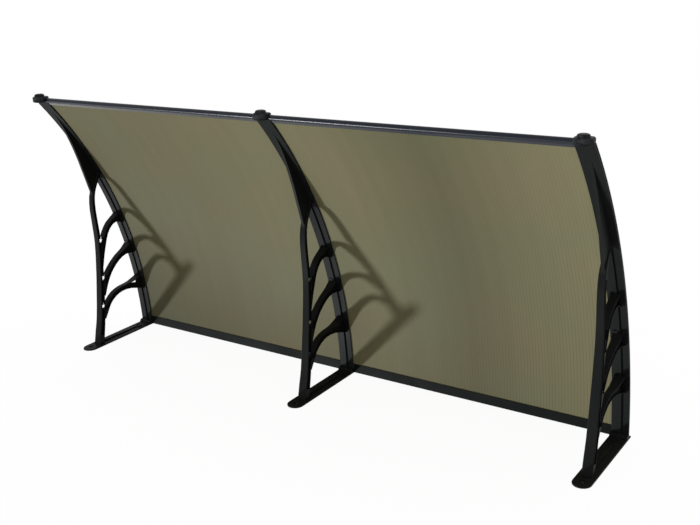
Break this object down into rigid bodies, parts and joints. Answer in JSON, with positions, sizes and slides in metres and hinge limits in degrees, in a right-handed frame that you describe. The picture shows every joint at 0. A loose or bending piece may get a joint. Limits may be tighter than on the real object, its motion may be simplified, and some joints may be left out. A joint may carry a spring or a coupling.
{
  "type": "polycarbonate door awning",
  "caption": "Door awning: bent twin-wall sheets on three moulded brackets, edged with black bars and cover strips.",
  "frame": {"origin": "middle of the footprint of the three wall plates, on the wall plane", "axes": "+Z straight out from the wall, +X along the wall, +Y up the wall: the awning stands on its wall plates"},
  "size_m": [2, 0.4156, 0.9715],
  "materials": {
    "black_plastic": "satin",
    "bronze_sheet": "satin, translucent bronze",
    "gloss_black_aluminium": "gloss",
    "matt_black_aluminium": "matt",
    "rubber": "matt",
    "black_screw_steel": "satin"
  },
  "bodies": {
    "root": {"bracket_left": "black_plastic", "bracket_middle": "black_plastic", "bracket_right": "black_plastic", "sheet_left": "bronze_sheet", "sheet_right": "bronze_sheet", "front_bar_left": "gloss_black_aluminium", "front_bar_right": "gloss_black_aluminium", "rear_bar_left": "matt_black_aluminium", "rear_bar_right": "matt_black_aluminium", "wall_seal_left": "rubber", "wall_seal_right": "rubber", "cover_strip_left": "gloss_black_aluminium", "cover_strip_middle": "gloss_black_aluminium", "cover_strip_right": "gloss_black_aluminium", "head_screw_left": "black_screw_steel", "head_screw_middle": "black_screw_steel", "head_screw_right": "black_screw_steel", "bar_plug_1": "black_plastic", "bar_plug_2": "black_plastic", "bar_plug_3": "black_plastic", "bar_plug_4": "black_plastic", "strip_screw_left_1": "black_screw_steel", "strip_screw_left_2": "black_screw_steel", "strip_screw_left_3": "black_screw_steel", "strip_screw_left_4": "black_screw_steel", "strip_screw_left_5": "black_screw_steel", "strip_screw_middle_1": "black_screw_steel", "strip_screw_middle_2": "black_screw_steel", "strip_screw_middle_3": "black_screw_steel", "strip_screw_middle_4": "black_screw_steel", "strip_screw_middle_5": "black_screw_steel", "strip_screw_right_1": "black_screw_steel", "strip_screw_right_2": "black_screw_steel", "strip_screw_right_3": "black_screw_steel", "strip_screw_right_4": "black_screw_steel", "strip_screw_right_5": "black_screw_steel"}
  },
  "joints": []
}
